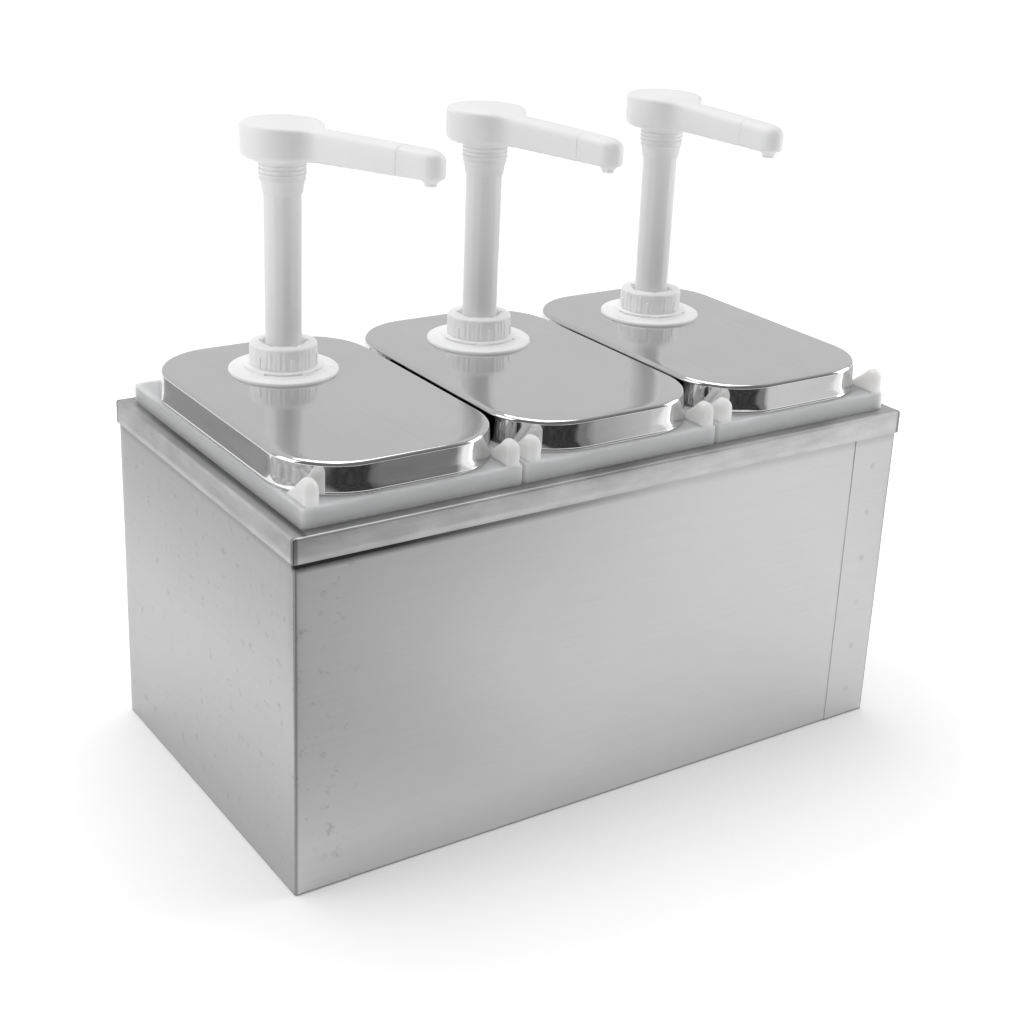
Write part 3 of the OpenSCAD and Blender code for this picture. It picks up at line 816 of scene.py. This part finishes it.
def lid(side):
    """A pressed lid: flat top with the pump's hole, rounded edge, upright skirt with a turned rim."""
    low, high = box_mm(f"{side}_lid")
    centre = ((low.x + high.x) / 2, (low.y + high.y) / 2)
    width, depth = high.x - low.x, high.y - low.y
    axis = middle(f"{side}_pump_seat")
    edge, rim, hole, draft = 2.6, 0.9, 22.3, 1.1
    bead_h, bead_in = 2.0, 0.3

    def skirt(inset, z):
        size = (width - 2 * inset, depth - 2 * inset, LID_CORNER_R - inset)
        return frame_ring(*size, z, centre, corner_steps=16, side_steps=8)

    def round_hole(radius, z):
        ring = []
        for x, y, _ in skirt(draft + edge, z):
            away = Vector((x - axis.x, y - axis.y)).normalized() * radius
            ring.append((axis.x + away.x, axis.y + away.y, z))
        return ring

    inner = edge - SHEET
    wall_foot, wall_h = low.z + bead_h, high.z - edge - low.z - bead_h
    rings = [skirt(rim + SHEET, low.z + 0.4), skirt(rim, low.z), skirt(0.1, low.z)]
    rings += [skirt(-0.1, low.z + 0.4), skirt(0.1, low.z + 1.0), skirt(bead_in, wall_foot)]
    rings += [skirt(bead_in + (draft - bead_in) * t, wall_foot + wall_h * t) for t in (0.33, 0.66)]
    rings += [skirt(draft + edge - x, high.z - edge + y) for x, y in arc(0, 0, edge, 0, 90, 8)]
    rings += [skirt(draft + edge + 6, high.z)]
    rings += [round_hole(hole + 8, high.z), round_hole(hole + 0.3, high.z), round_hole(hole, high.z - 0.3)]
    rings += [round_hole(hole, high.z - SHEET), skirt(draft + edge + 1, high.z - SHEET)]
    rings += [skirt(draft + SHEET + inner - x, high.z - edge + y) for x, y in arc(0, 0, inner, 90, 0, 4)]
    rings += [skirt(bead_in + SHEET, wall_foot)]
    pressing = loft(rings, closed=True)
    piece(f"{side}_lid_pressing", pressing, f"{side}_pump_body", "lid_steel", f"{side}_lid", sharp=50)


# ---- pump ----

def add_to_pump(name, shape, side, body, slot, *nodes, turn=0, sharp=35):
    """Adds a shape or a mesh that is made about the pump's axis, at its station."""
    axis = middle(f"{side}_pump_seat")
    if isinstance(shape, tuple):
        shape = moved(shape, (axis.x, axis.y, 0), turn)
    else:
        spin = Matrix.Rotation(math.radians(turn), 4, "Z")
        shape.transform(Matrix.Translation((axis.x * MM, axis.y * MM, 0)) @ spin)
    piece(f"{side}_{name}", shape, f"{side}_{body}", slot, *[f"{side}_{n}" for n in nodes], sharp=sharp)


def thread(radius, depth, low, high, pitch):
    """Outline points up a threaded wall of rounded ridges, as (radius, height)."""
    points, z = [], low
    while z + pitch <= high + 0.01:
        points += [(radius - depth, z), (radius - depth, z + 0.25 * pitch)]
        points += [(radius, z + 0.45 * pitch), (radius, z + 0.7 * pitch)]
        z += pitch
    return points + [(radius - depth, z)]


SEAT_TURNS = {"left": 0, "middle": 36, "right": 33}
COLLAR_TURNS = {"left": 0, "middle": -2, "right": -32}


def from_step(angle, first, step):
    """Degrees from an angle in radians to the nearest of the places first, first + step and so on."""
    return (math.degrees(angle) - first + step / 2) % step - step / 2


def pump_seat(side):
    """The disc on the lid, a boss with slots round its foot and plain ticks, the spigot and the neck."""
    low, high = box_mm(f"{side}_pump_seat")
    disc_low = box_mm(f"{side}_lid")[1].z
    disc_top, boss_top = disc_low + 2, box_mm(f"{side}_collar_nut")[0].z - 0.2
    radius = (high.x - low.x) / 2
    bore, spigot, neck, boss, slot = 17.2, 22.0, 18.7, 24.4, 23.6
    facing = -116

    def marks(r, z, angle):
        if abs(r - slot) < 0.01 and z > disc_top and abs(from_step(angle, facing, 72)) > 27:
            return boss + (0.25 if z > boss_top - 1 else 0.5), z
        if z == disc_top and 28.2 < r < 31.3 and abs(from_step(angle, facing + 90, 180)) < 1.9:
            return r, z + 0.4
        return r, z

    profile = [(bore, high.z), (bore, low.z), (spigot - 1.2, low.z)]
    profile += thread(spigot, 0.9, low.z + 1, disc_low - 1.5, 2.6)
    profile += [(spigot, disc_low - 0.8), (spigot, disc_low), (radius - 0.3, disc_low)]
    profile += rounded([(radius, disc_low + 0.1), (radius, disc_top, 1.0), (radius - 3, disc_top)], 4)[:-1]
    profile += [(r, disc_top) for r in (31.5, 31.2, 29.5, 28.4, 28.1, 27.2)]
    profile += [(26.0, disc_top + 0.35), (25.1, boss_top - 1.7), (slot, boss_top - 1.5)]
    profile += [(slot, boss_top - 0.45), (boss, boss_top - 0.3), (boss - 0.05, boss_top - 0.1)]
    profile += [(boss - 0.3, boss_top), (neck, boss_top)]
    profile += thread(neck, 0.9, boss_top + 0.4, high.z - 1, 2.4)
    profile += [(neck - 0.9, high.z)]
    add_to_pump("seat_disc", lathe(profile, 240, marks), side, "pump_body", "pump_plastic", "pump_seat",
                turn=SEAT_TURNS[side], sharp=40)


def collar_nut(side):
    """The collar: fine uneven ribs with six short bolder ones, and a plain top ring notched inside."""
    low, high = box_mm(f"{side}_collar_nut")
    outer = (high.x - low.x) / 2
    rib, ring_h, lip, bore = 0.8, 2.2, 13.4, 18.95
    foot, top = low.z, high.z
    shelf = box_mm(f"{side}_guide_bush")[1].z + 0.05
    wall, ledge, shoulder = outer - rib, top - ring_h, 1.8
    ring_r = wall + 0.1
    pointers, notches = -101, 154

    def ribs(r, z, angle):
        if r < lip + 1.2 and z > shelf + 0.1:
            return r + (1.4 if abs(from_step(angle, notches, 60)) < 7 else 0), z
        if r < wall - 0.05 or z > ledge - 0.1:
            return r, z
        wave = math.cos(44 * angle) + 0.7 * math.cos(29 * angle + 1) + 0.6 * math.cos(13 * angle + 2)
        height = 0.42 * min(max(0.45 + 0.4 * wave, 0), 1)
        off = abs(from_step(angle, pointers, 60))
        if off < 2.6 and z < foot + 0.62 * (ledge - foot):
            height = rib
        elif off < 4.6:
            height = 0
        fade = min(1, max(0, (z - foot) / 0.6)) * min(1, max(0, (ledge - z) / 0.5))
        return wall + height * fade, z

    profile = [(bore, foot), (wall - 0.3, foot), (wall, foot + 0.4)]
    profile += [(wall, foot + (ledge - foot) * t) for t in (0.08, 0.3, 0.55, 0.6, 0.64, 0.8, 0.94, 1)]
    profile += [(ring_r, ledge + 0.25)]
    profile += arc(ring_r - shoulder, top - 0.3 - shoulder, shoulder, 0, 80, 6)
    profile += [(16.5, top - 0.08)]
    profile += arc(lip + 1.0, top - 1.0, 1.0, 90, 180, 4)
    profile += [(lip, shelf + 0.3), (lip + 0.2, shelf), (bore, shelf)]
    profile += [(bore + 0.5 * (k % 2), shelf - 1.2 - k * 1.1) for k in range(8)]
    add_to_pump("collar", lathe(profile, 360, ribs), side, "pump_body", "pump_plastic", "collar_nut",
                turn=COLLAR_TURNS[side], sharp=50)


STROKE = next(j for j in frame["joints"] if j["name"] == "left_pump_press")["range_m"][1] / MM


def guide_bush(side):
    """The bush that guides the stem: its recess has small notches, as seen from above."""
    low, high = box_mm(f"{side}_guide_bush")
    outer, recess, guide = (high.x - low.x) / 2, 14.5, 11.8
    floor = box_mm(f"{side}_pump_head")[0].z - STROKE - 0.6

    def notches(r, z, angle):
        if recess - 0.05 < r < outer - 0.2 and z > high.z - 0.1:
            tooth = (math.degrees(angle) / 30) % 1
            return r, z - (1.2 if tooth < 0.25 else 0)
        return r, z

    profile = [(guide, low.z), (outer, low.z), (outer, high.z)]
    profile += [(outer - 0.35, high.z), (recess + 0.3, high.z), (recess, high.z)]
    profile += [(recess, floor), (guide + 0.3, floor), (guide, floor - 0.3)]
    add_to_pump("bush", lathe(profile, 144, notches), side, "pump_body", "pump_plastic", "guide_bush")


def stem(side, turn):
    """The tapered sleeve with faint flutes, open below for the outlet valve."""
    low, high = box_mm(f"{side}_stem")
    foot_r, top_r, channel, cage = 11.0, 11.5, 3.0, 5.2
    cage_top = low.z + 13.2

    def flutes(r, z, angle):
        if r < foot_r - 0.5 or z < low.z + 1:
            return r, z
        return r - 0.12 * (0.5 + 0.5 * math.cos(14 * angle)), z

    profile = [(cage, low.z), (foot_r - 0.6, low.z), (foot_r, low.z + 0.6)]
    length = high.z - low.z
    profile += [(foot_r + (top_r - foot_r) * t, low.z + length * t) for t in (0.1, 0.3, 0.5, 0.7, 0.9, 1)]
    profile += [(channel, high.z), (channel, cage_top + 2), (cage, cage_top)]
    sleeve = lathe(profile, 140, flutes)
    add_to_pump("stem_sleeve", sleeve, side, "plunger", "pump_plastic", "stem", turn=turn)


HEAD_R, HEAD_H, ARM_HALF, FILLET_R = 25.0, 21, 8.5, 14.0
JOINT_AT, JOINT_GAP, REACH = 86.5, 0.10, 105.0


def smooth(value, start, stop):
    t = min(max((value - start) / (stop - start), 0), 1)
    return t * t * (3 - 2 * t)


def slab(half_outline, levels):
    """A solid from half an outline and its mirror image. levels(x, y) gives the column at a point as
    (inset, height) pairs from its lowest to its highest. An end off the middle line gets a flat face."""
    count = len(half_outline)
    normals = []
    for i in range(count):
        before, after = half_outline[max(i - 1, 0)], half_outline[min(i + 1, count - 1)]
        along = Vector(after) - Vector(before)
        normals.append(Vector((-along.y, along.x)).normalized())
    for i, way in ((0, 1), (count - 1, -1)):
        normals[i] = Vector((0, way)) if half_outline[i][0] < 0.01 else Vector((1, 0))
    columns = []
    for (x, y), normal in zip(half_outline, normals):
        columns.append([(x - normal.x * inset, y - normal.y * inset, z) for inset, z in levels(x, y)])
    height = len(columns[0])
    points = [p for column in columns for p in column]
    points += [(-x, y, z) for x, y, z in points]

    def right(i, j):
        return i * height + j

    def left(i, j):
        return (count + i) * height + j

    faces = []
    for i in range(count - 1):
        for j in range(height - 1):
            faces.append((right(i, j), right(i + 1, j), right(i + 1, j + 1), right(i, j + 1)))
            faces.append((left(i, j), left(i, j + 1), left(i + 1, j + 1), left(i + 1, j)))
        for j in (0, height - 1):
            faces.append((right(i, j), left(i, j), left(i + 1, j), right(i + 1, j)))
    for i in (0, count - 1):
        if half_outline[i][0] > 0.01:
            mirror = [left(i, j) for j in reversed(range(height))]
            faces.append([right(i, j) for j in range(height)] + mirror)
    return points, faces


def arm_column(x, y, head_low, head_top, nose=False):
    """Insets and heights up the side of the head and arm at one place of the plan."""
    out = -y
    arm = smooth(out, 10, 34)
    top = head_top - arm * (1.4 + 1.9 * smooth(out, 20, 130))
    low = head_low + arm * (1.0 + out / 110)
    tip = smooth(out, REACH - 6, REACH + ARM_HALF)
    edge = 2.4 + 2.0 * arm + (2.2 * tip if nose else 0)
    under = 4.6 - 2.4 * arm
    column = [(under - under * math.sin(a), low + under - under * math.cos(a))
              for a in [math.pi / 2 * k / 5 for k in range(6)]]
    column.append((0, (low + under + top - edge) / 2))
    column += [(edge - edge * math.cos(a), top - edge + edge * math.sin(a))
               for a in [math.pi / 2 * k / 6 for k in range(7)]]
    return column


def pump_head(side, turn):
    low, high = box_mm(f"{side}_pump_head")
    head_top, head_low = high.z, high.z - HEAD_H
    fillet_x = ARM_HALF + FILLET_R
    fillet_y = -math.sqrt((HEAD_R + FILLET_R) ** 2 - fillet_x ** 2)
    meet = math.degrees(math.atan2(fillet_y, fillet_x))
    outline = arc(0, 0, HEAD_R, 90, meet, 40)
    outline += arc(fillet_x, fillet_y, FILLET_R, meet + 180, 180, 10)[1:]
    outline += straight((ARM_HALF, fillet_y), (ARM_HALF, JOINT_GAP - JOINT_AT), 14)[1:]
    body = slab(outline, lambda x, y: arm_column(x, y, head_low, head_top))
    neck_foot = low.z + 8
    neck_r, ring_r, groove_r, foot_r = 14.6, 14.3, 13.5, 13.95
    neck = [(0, head_low + 4), (neck_r, head_low + 4), (neck_r, head_low - 0.6)]
    z = head_low - 1.2
    while z > neck_foot + 3:
        neck += [(ring_r, z), (ring_r, z - 0.9), (groove_r, z - 1.2), (groove_r, z - 2.2)]
        z -= 2.6
    neck += [(foot_r, neck_foot + 1.0), (foot_r, neck_foot + 0.2), (13.2, neck_foot - 0.4)]
    neck += [(12.2, low.z + 0.3), (11.9, low.z), (0, low.z)]
    mesh = united("pump_head", [body, lathe(neck, 96)])
    add_to_pump("head_moulding", mesh, side, "plunger", "pump_plastic", "pump_head", turn=turn, sharp=40)


def spout_tip(side, turn):
    low = box_mm(f"{side}_spout_tip")[0]
    head_top = box_mm(f"{side}_pump_head")[1].z
    head_low = head_top - HEAD_H
    outline = straight((ARM_HALF, -JOINT_AT - JOINT_GAP), (ARM_HALF, -REACH), 10)
    outline += arc(0, -REACH, ARM_HALF, 0, -90, 14)[1:]
    outline[-1] = (0, outline[-1][1])
    body = slab(outline, lambda x, y: arm_column(x, y, head_low, head_top, True))
    root = head_low + 3
    nozzle = [(0, low.z + 5), (2.3, low.z + 4), (2.3, low.z), (3.5, low.z), (3.8, low.z + 0.3)]
    nozzle += [(3.8, root - 3.2), (4.6, root - 2.6), (6.6, root), (6.6, root + 3), (0, root + 3)]
    mesh = united("spout_tip", [body, moved(lathe(nozzle, 48), (0, -REACH, 0))])
    add_to_pump("spout_end", mesh, side, "plunger", "pump_plastic", "spout_tip", turn=turn, sharp=40)


def return_spring(side):
    """A smooth helical spring, built at one length; the real one shortens with the stroke."""
    low, high = box_mm(f"{side}_return_spring")
    axis = middle(f"{side}_pump_seat")
    wire, turns, per_turn, sides = 0.9, 10, 28, 10
    coil, length = (high.x - low.x) / 2 - wire, high.z - low.z
    steps = turns * per_turn
    rings = []
    for i in range(steps + 1):
        t = i / steps
        angle = 2 * math.pi * turns * t
        z = low.z + wire + (length - 2 * wire) * t
        ring = []
        for k in range(sides):
            round_wire = 2 * math.pi * k / sides
            r = coil + wire * math.cos(round_wire)
            ring.append((r * math.cos(angle), r * math.sin(angle), z + wire * math.sin(round_wire)))
        rings.append(ring)
    shape = moved(loft(rings), (axis.x, axis.y, 0))
    node = f"{side}_return_spring"
    spring = piece(f"{side}_spring_coil", shape, f"{side}_pump_body", "spring_steel", node)
    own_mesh(spring)


def build_station(side):
    turn = SPOUT_TURNS[side]
    tub(side)
    lid(side)
    pump_seat(side)
    collar_nut(side)
    guide_bush(side)
    return_spring(side)
    stem(side, turn)
    pump_head(side, turn)
    spout_tip(side, turn)


CARRIED_OVER = {
    "base_panel": "case_steel",
    "retaining_nut": "pump_plastic",
    "neck_gasket": "seal_rubber",
    "pump_cylinder": "barrel_plastic",
    "dip_tube": "barrel_plastic",
    "piston": "pump_plastic",
    "piston_seal": "seal_rubber",
    "inlet_ball": "valve_steel",
    "discharge_ball": "valve_steel",
}


def dress_cad_nodes():
    """Gives the CAD nodes that stay their procedural materials."""
    for name, thing in frame["nodes"].items():
        for part, slot in CARRIED_OVER.items():
            if name.endswith(part):
                for holder in thing.material_slots:
                    holder.material = MATERIALS[slot]


MATERIALS = {
    "case_steel": case_steel(),
    "weld_steel": plain_metal("weld_steel", 0.57, 0.38),
    "lid_steel": lid_steel(),
    # the tub plastic has painted light (glow) and painted shade on faces turned to the left (left)
    "tub_plastic": plastic("tub_plastic", 0.76, 0.42, 1.0, 0.03, glow=0.07, left=0.70).material,
    "pump_plastic": pump_plastic(),
    "barrel_plastic": plastic("barrel_plastic", 0.80, 0.30, 0.4, 0.006, 0.25).material,
    "spring_steel": plain_metal("spring_steel", 0.60, 0.22),
    "valve_steel": plain_metal("valve_steel", 0.72, 0.10),
    "seal_rubber": rubber(),
}

add_camera()
add_world()
add_softbox("left_softbox", (-1.7, 0.3, 0.8), (0, 0, 0.2), (1.0, 1.4), 7)
add_softbox("right_softbox", (1.75, -0.55, 0.6), (0, 0, 0.2), (1.0, 1.2), 9)
add_softbox("top_softbox", (-0.1, 0.2, 2.0), (0, 0, 0.2), (1.6, 1.6), 20)
stage_plane("floor", 14, 14, (0, 0, cad_box[0][2] - 0.0004), (0, 0, 0), floor_paper())
for layer, (name, width, depth, place, look) in enumerate((
        ("front_card", 3.0, 1.78, (-0.1, -1.33), room_card((-0.1, -1.33), 1.78)),
        ("left_card", 0.62, 1.1, (-1.11, -0.05), card("grey_card", 0.4, 0.8)[0].material),
        ("right_card", 1.0, 0.8, (0.98, -0.02), card("pale_card", 0.45, 0.7)[0].material),
        ("corner_card", 0.5, 0.46, (-0.24, -0.38), soft_card("soft_card", 0.5, 0.46, 0.45, 0.85)),
        ("side_card", 0.40, 1.3, (-0.59, 0.65), soft_card("side_card", 0.40, 1.3, 0.34, 0.56))), start=1):
    sheet = stage_plane(name, width, depth, (*place, cad_box[0][2] + layer * 0.001), (0, 0, 0), look)
    sheet.visible_camera = sheet.visible_diffuse = sheet.visible_shadow = False
bpy.context.scene.view_settings.view_transform = "Standard"

build_case()
for side in SIDES:
    build_station(side)
dress_cad_nodes()
